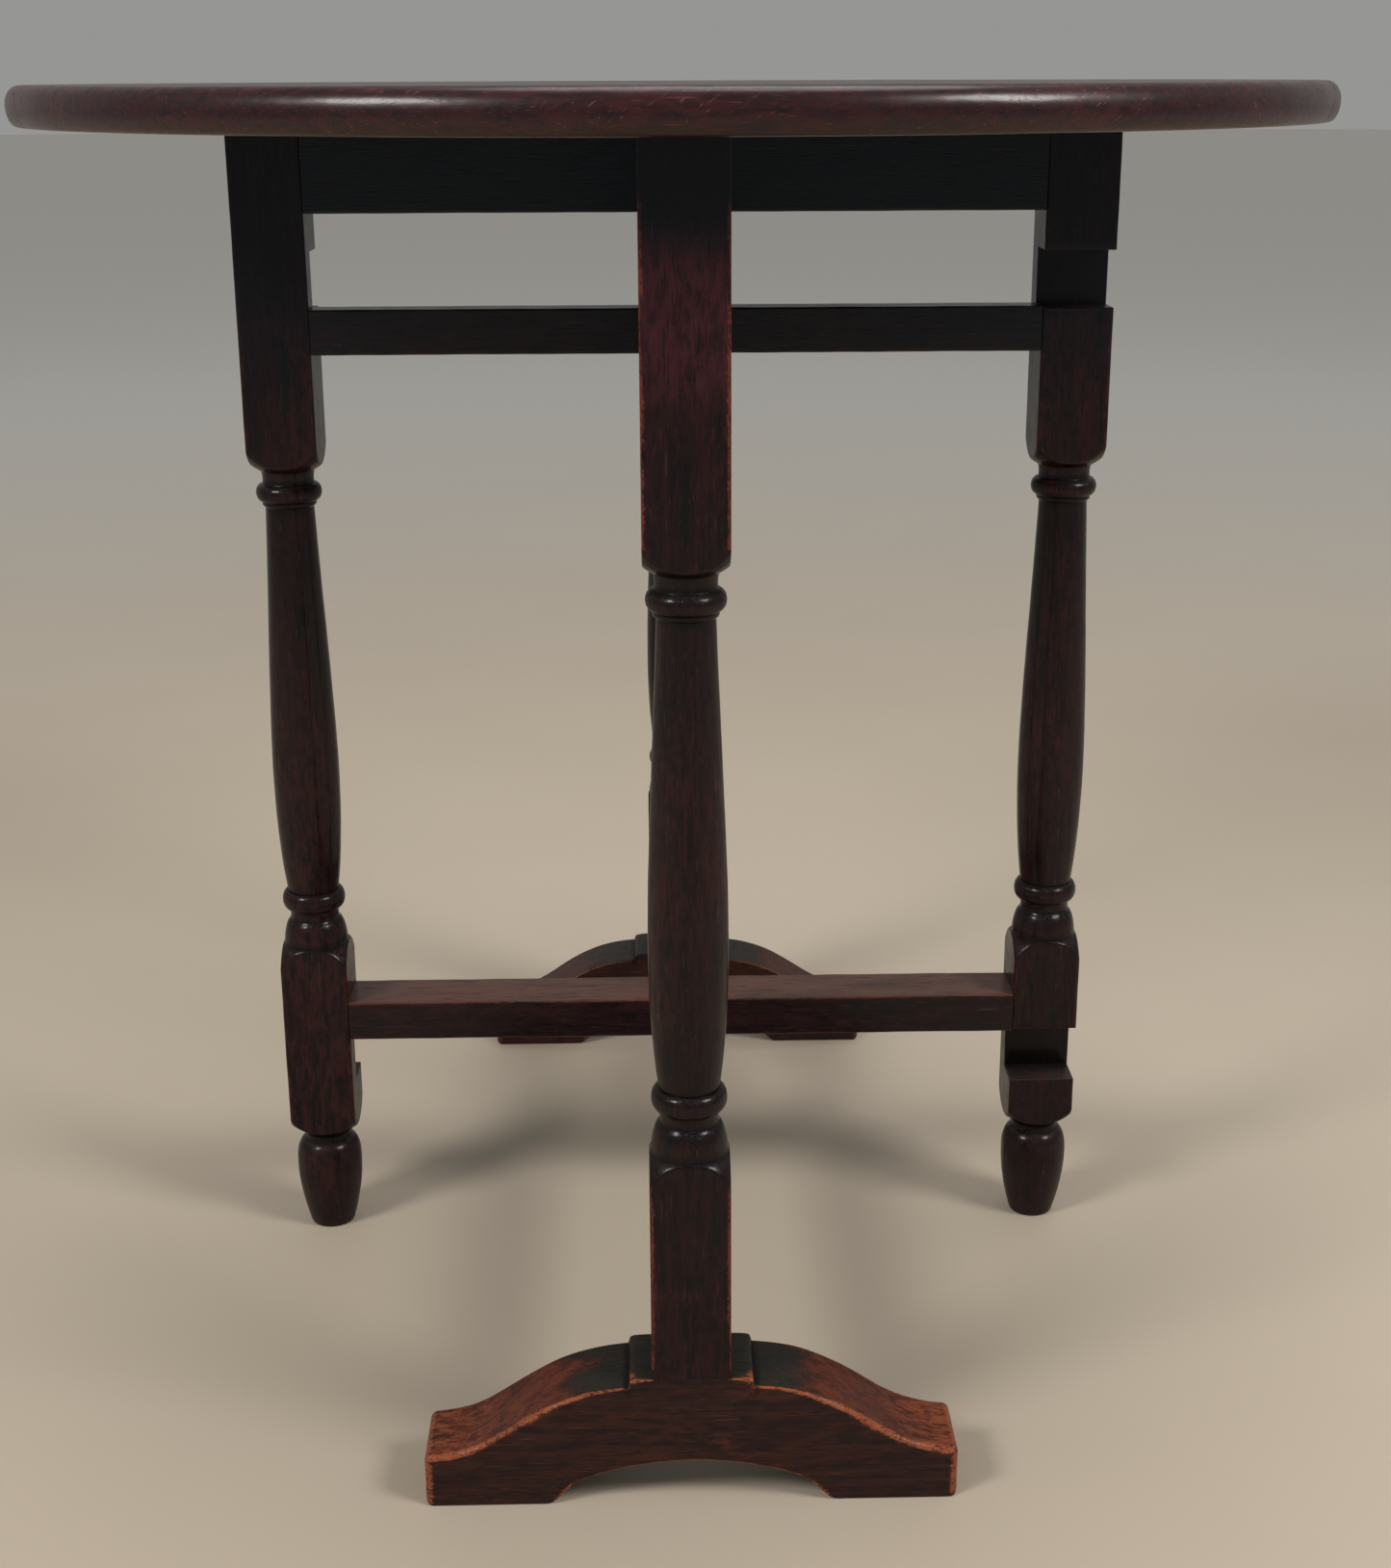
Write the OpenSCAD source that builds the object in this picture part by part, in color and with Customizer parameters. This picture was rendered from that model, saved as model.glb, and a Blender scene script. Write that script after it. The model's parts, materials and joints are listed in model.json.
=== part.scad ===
// Round drop leaf table with two turned legs on a fixed frame, and a swivelling gate on
// arched sledge feet that carries both leaves. Millimetres, +Z up, floor at z = 0,
// origin on the floor under the centre of the top. X runs along the frame and the hinge lines.

/* [Top] */
// Height of the top surface above the floor
table_height = 710; // [700:1:720]
// Diameter of the round top with both leaves up
top_diameter = 722; // [700:1:760]
// Thickness of the top boards
top_thickness = 20.5; // [20:0.5:24]
// Width of the fixed centre board, between the two joint lines
centre_width = 280; // [260:1:300]
// Radius of the quarter round in each rule joint
rule_radius = 14; // [12:0.5:14.5]
// Gap at the top of each rule joint
rule_gap = 0.8; // [0.7:0.05:1.5]

/* [Frame] */
// Side of the square blocks of legs and posts
leg_side = 41; // [38:0.5:44]
// Distance between the centres of the two fixed legs
leg_spacing = 459; // [440:1:470]
// Height of the top rail, under the top
top_rail_h = 49; // [40:1:50]
// Thickness of the top rail and of the middle rail
rail_t = 21; // [18:1:24]
// Height of the middle rail
middle_rail_h = 25.5; // [20:0.5:26]
// Height of the lower stretcher
stretcher_h = 24.5; // [20:0.5:26]
// Thickness of the lower stretcher
stretcher_t = 38; // [30:1:40]

/* [Gate] */
// Distance between the centres of the two gate posts
post_spacing = 579; // [570:1:600]
// Thickness of both gate rails
gate_rail_t = 20; // [16:1:22]
// Length of each sledge foot
foot_length = 279; // [240:1:300]
// Width of each sledge foot
foot_width = 44; // [41:1:48]

/* [Hinges] */
// Distance of each hinge from the middle of the table, along the joint line
hinge_x = 190; // [120:5:220]
// Length of a hinge along its pin
hinge_length = 60; // [50:5:70]
// Thickness of the hinge plates
plate_t = 1.5; // [1.2:0.1:2]

/* [Hidden] */

// Running clearance between faces of different bodies, and in the round pivots
clear = 0.3;
fit = 0.05;
// Overrun of a cutting shape past the face that it cuts
cut = 1;
fine = 64;

// Heights of the frame
under_top = table_height - top_thickness;
half = leg_side / 2;
leg_x = leg_spacing / 2;
post_y = post_spacing / 2;
top_radius = top_diameter / 2;
top_rail_z = under_top - top_rail_h;
middle_rail_z = 562;
middle_rail_top = middle_rail_z + middle_rail_h;
stretcher_z = 136;
stretcher_top = stretcher_z + stretcher_h;

// Notches that take the gate rails when the gate is folded in
notch_depth = 23;
upper_notch = [586.3, 618.3];
lower_notch = [102, 137];

// Gate rails: bottom and top heights
washer_t = 1.2;
gate_upper = [middle_rail_top + washer_t + clear, upper_notch[1] - 1.2];
gate_lower = [lower_notch[0] + 2, stretcher_z - washer_t - clear];
foot_top = 74;

// Turning. Radii grow with the square blocks
k = leg_side / 41;
neck_r = 15.2 * k;
bead_r = 19.3 * k;
vase_top_r = 14.2 * k;
vase_r = 20 * k;
vase_low_r = 15.6 * k;
cove_r = 14.6 * k;
peg_neck_r = 14.2 * k;
peg_r = 20.8 * k;
peg_tip_r = 14 * k;
corner_r = 30 * k;
upper_block_end = 508;
lower_block_top = 183;
lower_block_end = 83;

// Joinery
tenon_length = 25;
tenon_t = 9;
tenon_shoulder = 4;

// Edge of the top: elliptical round over, deeper above than below
edge_over = 8;
edge_under = 5;
edge_drop = 10;

// Hinges
joint_y = centre_width / 2;
hinge_z = table_height - rule_radius - 4;
knuckle_r = hinge_z - under_top - 0.1;
hinge_pin_r = 1.25;
knuckles = 5;
knuckle_gap = 0.3;
fixed_flap = 26;
leaf_flap = 45;
cove_gap = 0.5;

// Screws: head radius, shank radius, shank length
hinge_screw = [3.2, 1.6, 11];
top_screw = [4.6, 2.3, 34];
tip_h = 3;
slot_w = 0.8;
slot_d = 0.6;
pivot_r = 5;
pivot_head_r = 9;
pivot_head_t = 3.5;
washer_r = 13;
counterbore_r = 5.5;
top_screw_x = 150;

dark_oak = [0.10, 0.055, 0.045];
red_oak = [0.22, 0.09, 0.07];
worn_oak = [0.30, 0.15, 0.10];
steel = [0.36, 0.34, 0.31];
brass = [0.55, 0.42, 0.20];

// ---- outlines -------------------------------------------------------------------------------

// Point at t on a curve with end points a and d and handles b and c
function bezier_point(a, b, c, d, t) =
    pow(1 - t, 3) * a + 3 * pow(1 - t, 2) * t * b + 3 * (1 - t) * t * t * c + pow(t, 3) * d;

// The curve in n steps, without its last point
function bezier(a, b, c, d, n) = [for (i = [0 : n - 1]) bezier_point(a, b, c, d, i / n)];

// A bead of height h and radius r on a neck of radius n, centred at z, from top to bottom
function bead(z, h, r, n, steps) =
    [for (i = [0 : steps]) let (a = 180 * i / steps) [n + (r - n) * sin(a), z + h / 2 * cos(a)]];

// Turned outline from the upper block down to the top of the lower block
turning = concat(
    bezier([corner_r, upper_block_end + 0.5], [25 * k, 499.4], [21 * k, 496.6], [15.8 * k, 493.6], 6),
    bezier([15.8 * k, 493.6], [14.9 * k, 491.4], [14.9 * k, 488.2], [neck_r, 486], 3),
    bead(480.7, 10.4, bead_r, neck_r + 0.3, 10),
    [[15.8 * k, 475.4], [15.8 * k, 473], [vase_top_r, 472.6]],
    bezier([vase_top_r, 472], [16 * k, 416], [vase_r, 352], [vase_r, 306], 14),
    bezier([vase_r, 306], [vase_r, 280], [18.6 * k, 252], [vase_low_r, 231.8], 10),
    bead(225.1, 12.2, bead_r, vase_low_r, 10),
    bezier([vase_low_r, 218.8], [cove_r, 217.4], [cove_r, 213.6], [15.3 * k, 211.8], 4),
    bezier([16.2 * k, 211.2], [18.4 * k, 208.4], [19.5 * k, 202], [19.7 * k, 196.6], 6),
    bezier([20.1 * k, 196.2], [25 * k, 195], [28 * k, 190], [corner_r, lower_block_top], 6)
);

// Turned outline of a leg below its lower block, down to the floor
peg = concat(
    bezier([corner_r, lower_block_end], [27 * k, 73], [20 * k, 70], [peg_neck_r + 1, 66], 6),
    bezier([peg_neck_r + 1, 66], [peg_neck_r - 0.4, 64], [peg_neck_r - 0.4, 62],
        [peg_neck_r + 0.6, 60.2], 3),
    bezier([peg_neck_r + 1.6, 60], [18.6 * k, 58], [20.4 * k, 53], [peg_r - 0.2, 47], 5),
    bezier([peg_r - 0.2, 47], [peg_r + 0.6, 34], [18 * k, 14], [peg_tip_r, 1.2], 10),
    [[peg_tip_r, 1.2], [peg_tip_r - 1.2, 0], [0, 0]]
);

// Half of a foot's outline, from the middle of its top to its end and back under the arch
foot_end = foot_length / 2;
foot_half = concat(
    [[32, foot_top], [32, foot_top - 1], [33, 69.2]],
    bezier([33, 69.2], [62, 67.5], [78, 57], [92, 47.5], 8),
    bezier([92, 47.5], [106, 38], [118, 30], [foot_end, 30], 8),
    [[foot_end, 30], [foot_end, 0], [76, 0]],
    bezier([76, 0], [70, 1], [67, 8], [61, 12.5], 5),
    bezier([61, 12.5], [42, 22], [18, 25], [0, 25], 7)
);
foot_outline = concat(foot_half, [[0, 25]],
    [for (i = [len(foot_half) - 1 : -1 : 0]) [-foot_half[i][0], foot_half[i][1]]]);

// Edge of the round top, from its underside to its upper face
edge_outline = concat(
    [[0, under_top], [top_radius - edge_under, under_top]],
    [for (a = [-75 : 15 : 0]) [top_radius - edge_under + edge_under * cos(a),
        table_height - edge_drop + (top_thickness - edge_drop) * sin(a)]],
    [for (a = [10 : 10 : 90]) [top_radius - edge_over + edge_over * cos(a),
        table_height - edge_drop + edge_drop * sin(a)]],
    [[0, table_height]]
);

// ---- shared shapes --------------------------------------------------------------------------

// A box from its lowest to its highest corner
module box(low, high) {
    translate(low)
        cube(high - low);
}

// A square turned piece from z = low to z = high, given its turned outline in between
module turned(outline, low, high) {
    intersection() {
        box([-half, -half, low], [half, half, high]);
        rotate_extrude($fn = fine)
            polygon(concat([[0, high], [corner_r, high]], outline));
    }
}

// Countersunk wood screw, its head flush at z = 0 and its point up
module wood_screw(size, slot = true) {
    head = size[0] - size[1];
    difference() {
        union() {
            cylinder(h = head, r1 = size[0], r2 = size[1], $fn = 32);
            translate([0, 0, head])
                cylinder(h = size[2] - head - tip_h, r = size[1], $fn = 32);
            translate([0, 0, size[2] - tip_h])
                cylinder(h = tip_h, r1 = size[1], r2 = 0.3, $fn = 32);
        }
        if (slot)
            box([-size[0], -slot_w / 2, -cut], [size[0], slot_w / 2, slot_d]);
    }
}

// A tenon reaching from the origin along +X, for a rail section from low to high in Y and Z
module tenon(low, high) {
    middle = (low[0] + high[0]) / 2;
    box([0, middle - tenon_t / 2, low[1] + tenon_shoulder],
        [tenon_length, middle + tenon_t / 2, high[1] - tenon_shoulder]);
}

// A rail along X between two shoulders at +-reach, with a tenon on each end
module rail(reach, low, high) {
    box([-reach, low[0], low[1]], [reach, high[0], high[1]]);
    for (s = [0, 1])
        mirror([s, 0, 0])
            translate([reach, 0, 0])
                tenon(low, high);
}

// The cross sections of the rails: lowest and highest Y and Z
top_rail_section = [[-half, top_rail_z], [-half + rail_t, under_top]];
middle_rail_section = [[-half, middle_rail_z], [-half + rail_t, middle_rail_top]];
stretcher_section = [[-half, stretcher_z], [-half + stretcher_t, stretcher_top]];
gate_upper_section = [[-gate_rail_t / 2, gate_upper[0]], [gate_rail_t / 2, gate_upper[1]]];
gate_lower_section = [[-gate_rail_t / 2, gate_lower[0]], [gate_rail_t / 2, gate_lower[1]]];

// ---- fixed frame ----------------------------------------------------------------------------

// A leg, without notches, with its inner side facing +X
module leg_blank() {
    difference() {
        turned(concat(turning, peg), 0, under_top);
        for (section = [top_rail_section, middle_rail_section, stretcher_section])
            translate([half - tenon_length, 0, 0])
                tenon(section[0], section[1]);
    }
}

// The two notches, open to +Y
module notches() {
    for (span = [upper_notch, lower_notch])
        box([-half - cut, half - notch_depth, span[0]], [half + cut, half + cut, span[1]]);
}

module left_leg() {
    color(dark_oak)
        translate([-leg_x, 0, 0])
            difference() {
                leg_blank();
                notches();
            }
}

module right_leg() {
    color(dark_oak)
        translate([leg_x, 0, 0])
            difference() {
                mirror([1, 0, 0])
                    leg_blank();
                mirror([0, 1, 0])
                    notches();
            }
}

rail_reach = leg_x - half;

module top_rail() {
    color(dark_oak)
        difference() {
            rail(rail_reach, top_rail_section[0], top_rail_section[1]);
            for (x = [-top_screw_x, 0, top_screw_x])
                translate([x, -half + rail_t / 2, top_rail_z])
                    top_screw_hole();
        }
}

// Counterbore and screw hole, up from the lower edge of the top rail
module top_screw_hole() {
    translate([0, 0, -cut])
        cylinder(h = cut + top_rail_h / 2, r = counterbore_r, $fn = 32);
    translate([0, 0, top_rail_h / 2])
        wood_screw(top_screw, slot = false);
}

// Housing in the back of the middle rail for the pivot block
block_x = 21;
block_front = -half + 9;

module middle_rail() {
    color(dark_oak)
        difference() {
            rail(rail_reach, middle_rail_section[0], middle_rail_section[1]);
            box([-block_x, block_front, middle_rail_z - cut],
                [block_x, -half + rail_t + cut, middle_rail_top + cut]);
        }
}

module pivot_block() {
    color(dark_oak)
        difference() {
            box([-block_x, block_front, middle_rail_z], [block_x, half, middle_rail_top]);
            translate([0, 0, middle_rail_z - cut])
                cylinder(h = middle_rail_h + 2 * cut, r = pivot_r, $fn = fine);
        }
}

module lower_stretcher() {
    color(dark_oak)
        difference() {
            rail(rail_reach, stretcher_section[0], stretcher_section[1]);
            translate([0, 0, stretcher_z - cut])
                cylinder(h = stretcher_h + 2 * cut, r = pivot_r, $fn = fine);
        }
}

// ---- pivots ---------------------------------------------------------------------------------

// Pin with a flat head at its lower end, head face at z = 0, shank up
module pivot_pin(length) {
    translate([0, 0, -pivot_head_t])
        cylinder(h = pivot_head_t, r = pivot_head_r, $fn = fine);
    cylinder(h = length, r = pivot_r, $fn = fine);
}

module upper_pivot_pin() {
    color(steel)
        translate([0, 0, gate_upper[1] + clear])
            mirror([0, 0, 1])
                pivot_pin(gate_upper[1] + clear - middle_rail_z);
}

module lower_pivot_pin() {
    color(steel)
        translate([0, 0, gate_lower[0] - clear])
            pivot_pin(stretcher_top - gate_lower[0] + clear);
}

module pivot_washers() {
    color(steel)
        for (z = [middle_rail_top, stretcher_z - washer_t])
            translate([0, 0, z])
                difference() {
                    cylinder(h = washer_t, r = washer_r, $fn = fine);
                    translate([0, 0, -cut])
                        cylinder(h = washer_t + 2 * cut, r = pivot_r, $fn = fine);
                }
}

// ---- top ------------------------------------------------------------------------------------

module round_board() {
    rotate_extrude($fn = 180)
        polygon(edge_outline);
}

// The centre board's cross section runs along X: a flat with a quarter round on each side
module centre_section() {
    long = top_diameter + 2 * cut;
    box([-long / 2, -joint_y, under_top - cut], [long / 2, joint_y, table_height + cut]);
    for (s = [0, 1])
        mirror([0, s, 0]) {
            intersection() {
                translate([-long / 2, joint_y, hinge_z])
                    rotate([0, 90, 0])
                        cylinder(h = long, r = rule_radius, $fn = 96);
                box([-long / 2, joint_y - cut, hinge_z], [long / 2, joint_y + 20, table_height]);
            }
            box([-long / 2, joint_y - cut, under_top - cut],
                [long / 2, joint_y + rule_radius, hinge_z]);
        }
}

// One hinge's place: x along the joint, the pin at the origin, the leaf towards +Y
module at_hinges() {
    for (x = [-hinge_x, hinge_x])
        translate([x, joint_y, hinge_z])
            children();
}

plate_z = under_top - hinge_z;
hinge_half = hinge_length / 2;
knuckle_l = hinge_length / knuckles;

// Recess in the centre board for the fixed plate, the knuckle and the leaf plate's neck
module centre_recess() {
    box([-hinge_half, -fixed_flap, plate_z - cut], [hinge_half, 0, plate_z + plate_t]);
    box([-hinge_half - clear, -knuckle_r - 0.8, plate_z - cut],
        [hinge_half + clear, rule_radius + cut, knuckle_r + 0.6]);
}

// The screws of the fixed plates and of the leaf plates, as [x, y] from the pin's middle
fixed_screws = [[-20, -14], [0, -19], [20, -14]];
leaf_screws = [[-20, 24], [0, 37], [20, 24]];

module plate_screws(places, slot) {
    for (p = places)
        translate([p[0], p[1], plate_z])
            wood_screw(hinge_screw, slot);
}

module centre_top() {
    color(red_oak)
        difference() {
            intersection() {
                round_board();
                centre_section();
            }
            for (s = [0, 180])
                rotate([0, 0, s])
                    at_hinges() {
                        centre_recess();
                        plate_screws(fixed_screws, false);
                    }
            for (x = [-top_screw_x, 0, top_screw_x])
                translate([x, -half + rail_t / 2, top_rail_z])
                    top_screw_hole();
        }
}

module top_screws() {
    color(steel)
        for (x = [-top_screw_x, 0, top_screw_x])
            translate([x, -half + rail_t / 2, top_rail_z + top_rail_h / 2])
                wood_screw(top_screw);
}

// The rear leaf. The front leaf is the same shape turned half a turn
module leaf() {
    long = top_diameter;
    difference() {
        intersection() {
            round_board();
            box([-long, joint_y + rule_gap, under_top - cut], [long, long, table_height + cut]);
        }
        translate([-long, joint_y, hinge_z])
            rotate([0, 90, 0])
                cylinder(h = 2 * long, r = rule_radius + cove_gap, $fn = 96);
        box([-long, joint_y, under_top - cut],
            [long, joint_y + rule_radius + cove_gap, hinge_z]);
        at_hinges() {
            box([-hinge_half, 0, plate_z - cut], [hinge_half, leaf_flap, plate_z + plate_t]);
            plate_screws(leaf_screws, false);
        }
    }
}

// ---- hinges ---------------------------------------------------------------------------------

// A flap reaching from the pin to y = reach, with its share of the knuckles
module plate(reach, turns, bore) {
    side = sign(reach);
    near = side * (knuckle_r + 0.5);
    difference() {
        union() {
            box([-hinge_half, min(near, reach), plate_z],
                [hinge_half, max(near, reach), plate_z + plate_t]);
            for (i = turns)
                translate([-hinge_half + i * knuckle_l + knuckle_gap / 2, 0, 0]) {
                    box([0, min(0, near), plate_z],
                        [knuckle_l - knuckle_gap, max(0, near), plate_z + plate_t]);
                    rotate([0, 90, 0])
                        cylinder(h = knuckle_l - knuckle_gap, r = knuckle_r, $fn = 48);
                }
        }
        translate([-hinge_half - cut, 0, 0])
            rotate([0, 90, 0])
                cylinder(h = hinge_length + 2 * cut, r = bore, $fn = 48);
    }
}

module fixed_plates() {
    at_hinges()
        difference() {
            plate(-fixed_flap, [0, 2, 4], hinge_pin_r);
            plate_screws(fixed_screws, false);
        }
}

module leaf_plates() {
    at_hinges()
        difference() {
            plate(leaf_flap, [1, 3], hinge_pin_r + fit);
            plate_screws(leaf_screws, false);
        }
}

module hinge_pins() {
    at_hinges()
        translate([-hinge_half + knuckle_gap / 2, 0, 0])
            rotate([0, 90, 0])
                cylinder(h = hinge_length - knuckle_gap, r = hinge_pin_r, $fn = 48);
}

module fixed_plate_screws() {
    at_hinges()
        plate_screws(fixed_screws, true);
}

module leaf_plate_screws() {
    at_hinges()
        plate_screws(leaf_screws, true);
}

// ---- nodes of the top, front and rear ---------------------------------------------------------

module to_front() {
    rotate([0, 0, 180])
        children();
}

module rear_leaf() { color(red_oak) leaf(); }
module front_leaf() { color(red_oak) to_front() leaf(); }
module rear_hinge_plates() { color(brass) fixed_plates(); }
module front_hinge_plates() { color(brass) to_front() fixed_plates(); }
module rear_hinge_pins() { color(steel) hinge_pins(); }
module front_hinge_pins() { color(steel) to_front() hinge_pins(); }
module rear_hinge_screws() { color(steel) fixed_plate_screws(); }
module front_hinge_screws() { color(steel) to_front() fixed_plate_screws(); }
module rear_leaf_plates() { color(brass) leaf_plates(); }
module front_leaf_plates() { color(brass) to_front() leaf_plates(); }
module rear_leaf_screws() { color(steel) leaf_plate_screws(); }
module front_leaf_screws() { color(steel) to_front() leaf_plate_screws(); }

// ---- gate -----------------------------------------------------------------------------------

post_tenon = 30;
post_tenon_w = 22;
gate_reach = post_y - half;

// A gate post, with the side that takes the rails facing -Y
module post() {
    difference() {
        union() {
            turned(turning_to_foot, foot_top, under_top - clear);
            box([-post_tenon_w / 2, -post_tenon_w / 2, foot_top - post_tenon],
                [post_tenon_w / 2, post_tenon_w / 2, foot_top]);
        }
        for (section = [gate_upper_section, gate_lower_section])
            rotate([0, 0, -90])
                translate([half - tenon_length, 0, 0])
                    tenon(section[0], section[1]);
    }
}

turning_to_foot = concat(turning, [[corner_r, foot_top], [0, foot_top]]);

module rear_post() {
    color(dark_oak)
        translate([0, post_y, 0])
            post();
}

module front_post() {
    color(dark_oak)
        to_front()
            translate([0, post_y, 0])
                post();
}

// A gate rail along Y, bored for its pivot pin
module gate_rail(section) {
    difference() {
        rotate([0, 0, 90])
            rail(gate_reach, section[0], section[1]);
        translate([0, 0, section[0][1] - cut])
            cylinder(h = section[1][1] - section[0][1] + 2 * cut, r = pivot_r + fit, $fn = fine);
    }
}

module gate_upper_rail() {
    color(dark_oak)
        gate_rail(gate_upper_section);
}

module gate_lower_rail() {
    color(dark_oak)
        gate_rail(gate_lower_section);
}

// An arched sledge foot. Its outer face is flush with the outer face of its post
module foot() {
    difference() {
        translate([0, post_y + half, 0])
            rotate([90, 0, 0])
                linear_extrude(height = foot_width)
                    polygon(foot_outline);
        box([-post_tenon_w / 2, post_y - post_tenon_w / 2, foot_top - post_tenon],
            [post_tenon_w / 2, post_y + post_tenon_w / 2, foot_top + cut]);
    }
}

module rear_foot() {
    color(worn_oak)
        foot();
}

module front_foot() {
    color(worn_oak)
        to_front()
            foot();
}

left_leg();
right_leg();
top_rail();
middle_rail();
pivot_block();
lower_stretcher();
centre_top();
top_screws();
upper_pivot_pin();
lower_pivot_pin();
pivot_washers();
front_hinge_plates();
rear_hinge_plates();
front_hinge_pins();
rear_hinge_pins();
front_hinge_screws();
rear_hinge_screws();
front_post();
rear_post();
gate_upper_rail();
gate_lower_rail();
front_foot();
rear_foot();
front_leaf();
front_leaf_plates();
front_leaf_screws();
rear_leaf();
rear_leaf_plates();
rear_leaf_screws();
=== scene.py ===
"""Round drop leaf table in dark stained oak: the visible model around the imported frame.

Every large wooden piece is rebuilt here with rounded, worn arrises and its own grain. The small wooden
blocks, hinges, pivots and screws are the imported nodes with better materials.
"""

import json
import math

import bmesh
import bpy
import numpy as np
from mathutils import Euler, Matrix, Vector, kdtree


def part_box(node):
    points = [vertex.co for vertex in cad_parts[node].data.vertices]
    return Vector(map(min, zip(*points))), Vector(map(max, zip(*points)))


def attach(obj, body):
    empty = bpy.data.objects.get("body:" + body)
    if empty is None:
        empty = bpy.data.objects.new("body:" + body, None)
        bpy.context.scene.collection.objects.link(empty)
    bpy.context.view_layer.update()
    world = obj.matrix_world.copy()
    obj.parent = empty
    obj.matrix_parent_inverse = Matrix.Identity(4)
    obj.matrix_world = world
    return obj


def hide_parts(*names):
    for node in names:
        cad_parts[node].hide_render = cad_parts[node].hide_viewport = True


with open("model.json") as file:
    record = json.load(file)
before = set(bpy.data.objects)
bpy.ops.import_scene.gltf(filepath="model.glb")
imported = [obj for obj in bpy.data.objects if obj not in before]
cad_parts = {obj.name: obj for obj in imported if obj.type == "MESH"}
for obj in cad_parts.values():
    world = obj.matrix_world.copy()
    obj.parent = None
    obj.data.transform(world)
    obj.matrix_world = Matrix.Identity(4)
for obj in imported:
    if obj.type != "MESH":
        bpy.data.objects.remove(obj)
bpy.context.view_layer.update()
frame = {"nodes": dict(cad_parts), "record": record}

MM = 0.001


def node_box(node):
    """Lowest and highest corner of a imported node, in millimetres."""
    low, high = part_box(node)
    return np.array(low) / MM, np.array(high) / MM


# ---- sizes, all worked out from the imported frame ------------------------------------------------

TOP_LOW, TOP_HIGH = node_box("centre_top")
TABLE_HEIGHT = TOP_HIGH[2]
UNDER_TOP = TOP_LOW[2]
TOP_RADIUS = TOP_HIGH[0]
LEG_LOW, LEG_HIGH = node_box("right_leg")
POST_HIGH = node_box("rear_post")[1]
HALF = (LEG_HIGH[0] - LEG_LOW[0]) / 2
LEG_X = LEG_HIGH[0] - HALF
POST_Y = POST_HIGH[1] - HALF
FOOT_END = node_box("rear_foot")[1][0]
STEEL_SLOT, BRASS_SLOT = "steel", "hinge_brass"

# Turning, repeated from the part
NECK_R, BEAD_R = 15.2, 19.3
VASE_TOP_R, VASE_R, VASE_LOW_R = 14.2, 20, 15.6
COVE_R, PEG_NECK_R, PEG_R, PEG_TIP_R = 14.6, 14.2, 20.8, 14
CORNER_R = 30
UPPER_BLOCK_END, LOWER_BLOCK_TOP, LOWER_BLOCK_END = 508, 183, 83
CARVE_TOP, CARVE_FOOT = UPPER_BLOCK_END + 0.5, LOWER_BLOCK_TOP - 2
FOOT_TOP = 74
POST_TENON_HALF, POST_TENON_LENGTH, POST_TENON_GAP, POST_TENON_ROUNDING = 11, 29.5, 0.5, 0.8
UPPER_NOTCH, LOWER_NOTCH, NOTCH_DEPTH = (586.3, 618.3), (102, 137), 23

# Rail tenons and the pivots
TENON_LENGTH, TENON_T, TENON_SHOULDER = 25, 9, 4
TENON_END_GAP, TENON_ROUNDING = 0.3, 0.4
PIVOT_R, PIVOT_GAP = 5, 0.05
COUNTERBORE_R, COUNTERBORE_H, TOP_SCREW_X = 5.5, 24.5, 150

# The top's edge and its rule joints
EDGE_OVER, EDGE_UNDER, EDGE_DROP = 8, 5, 10
JOINT_Y, RULE_RADIUS, RULE_GAP, COVE_GAP = 140, 14, 0.8, 0.5
HINGE_Z = TABLE_HEIGHT - RULE_RADIUS - 4
ARRIS = 0.6

# Hinge recesses
HINGE_X, HINGE_HALF, PLATE_T = 190, 30, 1.5
FIXED_FLAP, LEAF_FLAP, KNUCKLE_R = 26, 45, 2.4
KNUCKLE_SIDE_GAP, KNUCKLE_END_GAP, KNUCKLE_OVER_GAP = 0.8, 0.3, 0.6

# How far a cutter reaches past what it cuts
PAST, FAR_PAST = 1, 20


# ---- curves and noise ---------------------------------------------------------------------------


def bezier(a, b, c, d, steps):
    """Points on a curve with end points a and d and handles b and c, without the last point."""
    t = np.arange(steps)[:, None] / steps
    a, b, c, d = (np.array(p, float) for p in (a, b, c, d))
    return (1 - t) ** 3 * a + 3 * (1 - t) ** 2 * t * b + 3 * (1 - t) * t**2 * c + t**3 * d


def bead(z, height, radius, neck, steps=22):
    """Half round bead of the turning, from top to bottom, as points (radius, z)."""
    a = np.linspace(0, math.pi, steps + 1)
    return np.stack([neck + (radius - neck) * np.sin(a), z + height / 2 * np.cos(a)], 1)


def wobble(t, seed):
    """Smooth noise from about -1 to 1 along t in millimetres, the same on every run."""
    wavelengths = (31, 67, 140, 310)
    phases = np.random.default_rng(seed).uniform(0, 2 * math.pi, len(wavelengths))
    return sum(np.sin(2 * math.pi * t / w + p) for w, p in zip(wavelengths, phases)) / 4


def soft_min(a, b, width):
    """The smaller of a and b, rounded off where they are closer than width."""
    near = np.maximum(width - np.abs(a - b), 0) / width
    return np.minimum(a, b) - near**2 * width / 4


# ---- meshes -------------------------------------------------------------------------------------


def make_mesh(name, points, faces):
    """A mesh object from points in millimetres, with its normals outward."""
    mesh = bpy.data.meshes.new(name)
    mesh.from_pydata([tuple(p) for p in np.asarray(points) * MM], [], faces)
    tidy = bmesh.new()
    tidy.from_mesh(mesh)
    bmesh.ops.recalc_face_normals(tidy, faces=tidy.faces)
    tidy.to_mesh(mesh)
    tidy.free()
    piece = bpy.data.objects.new(name, mesh)
    bpy.context.scene.collection.objects.link(piece)
    return piece


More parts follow.
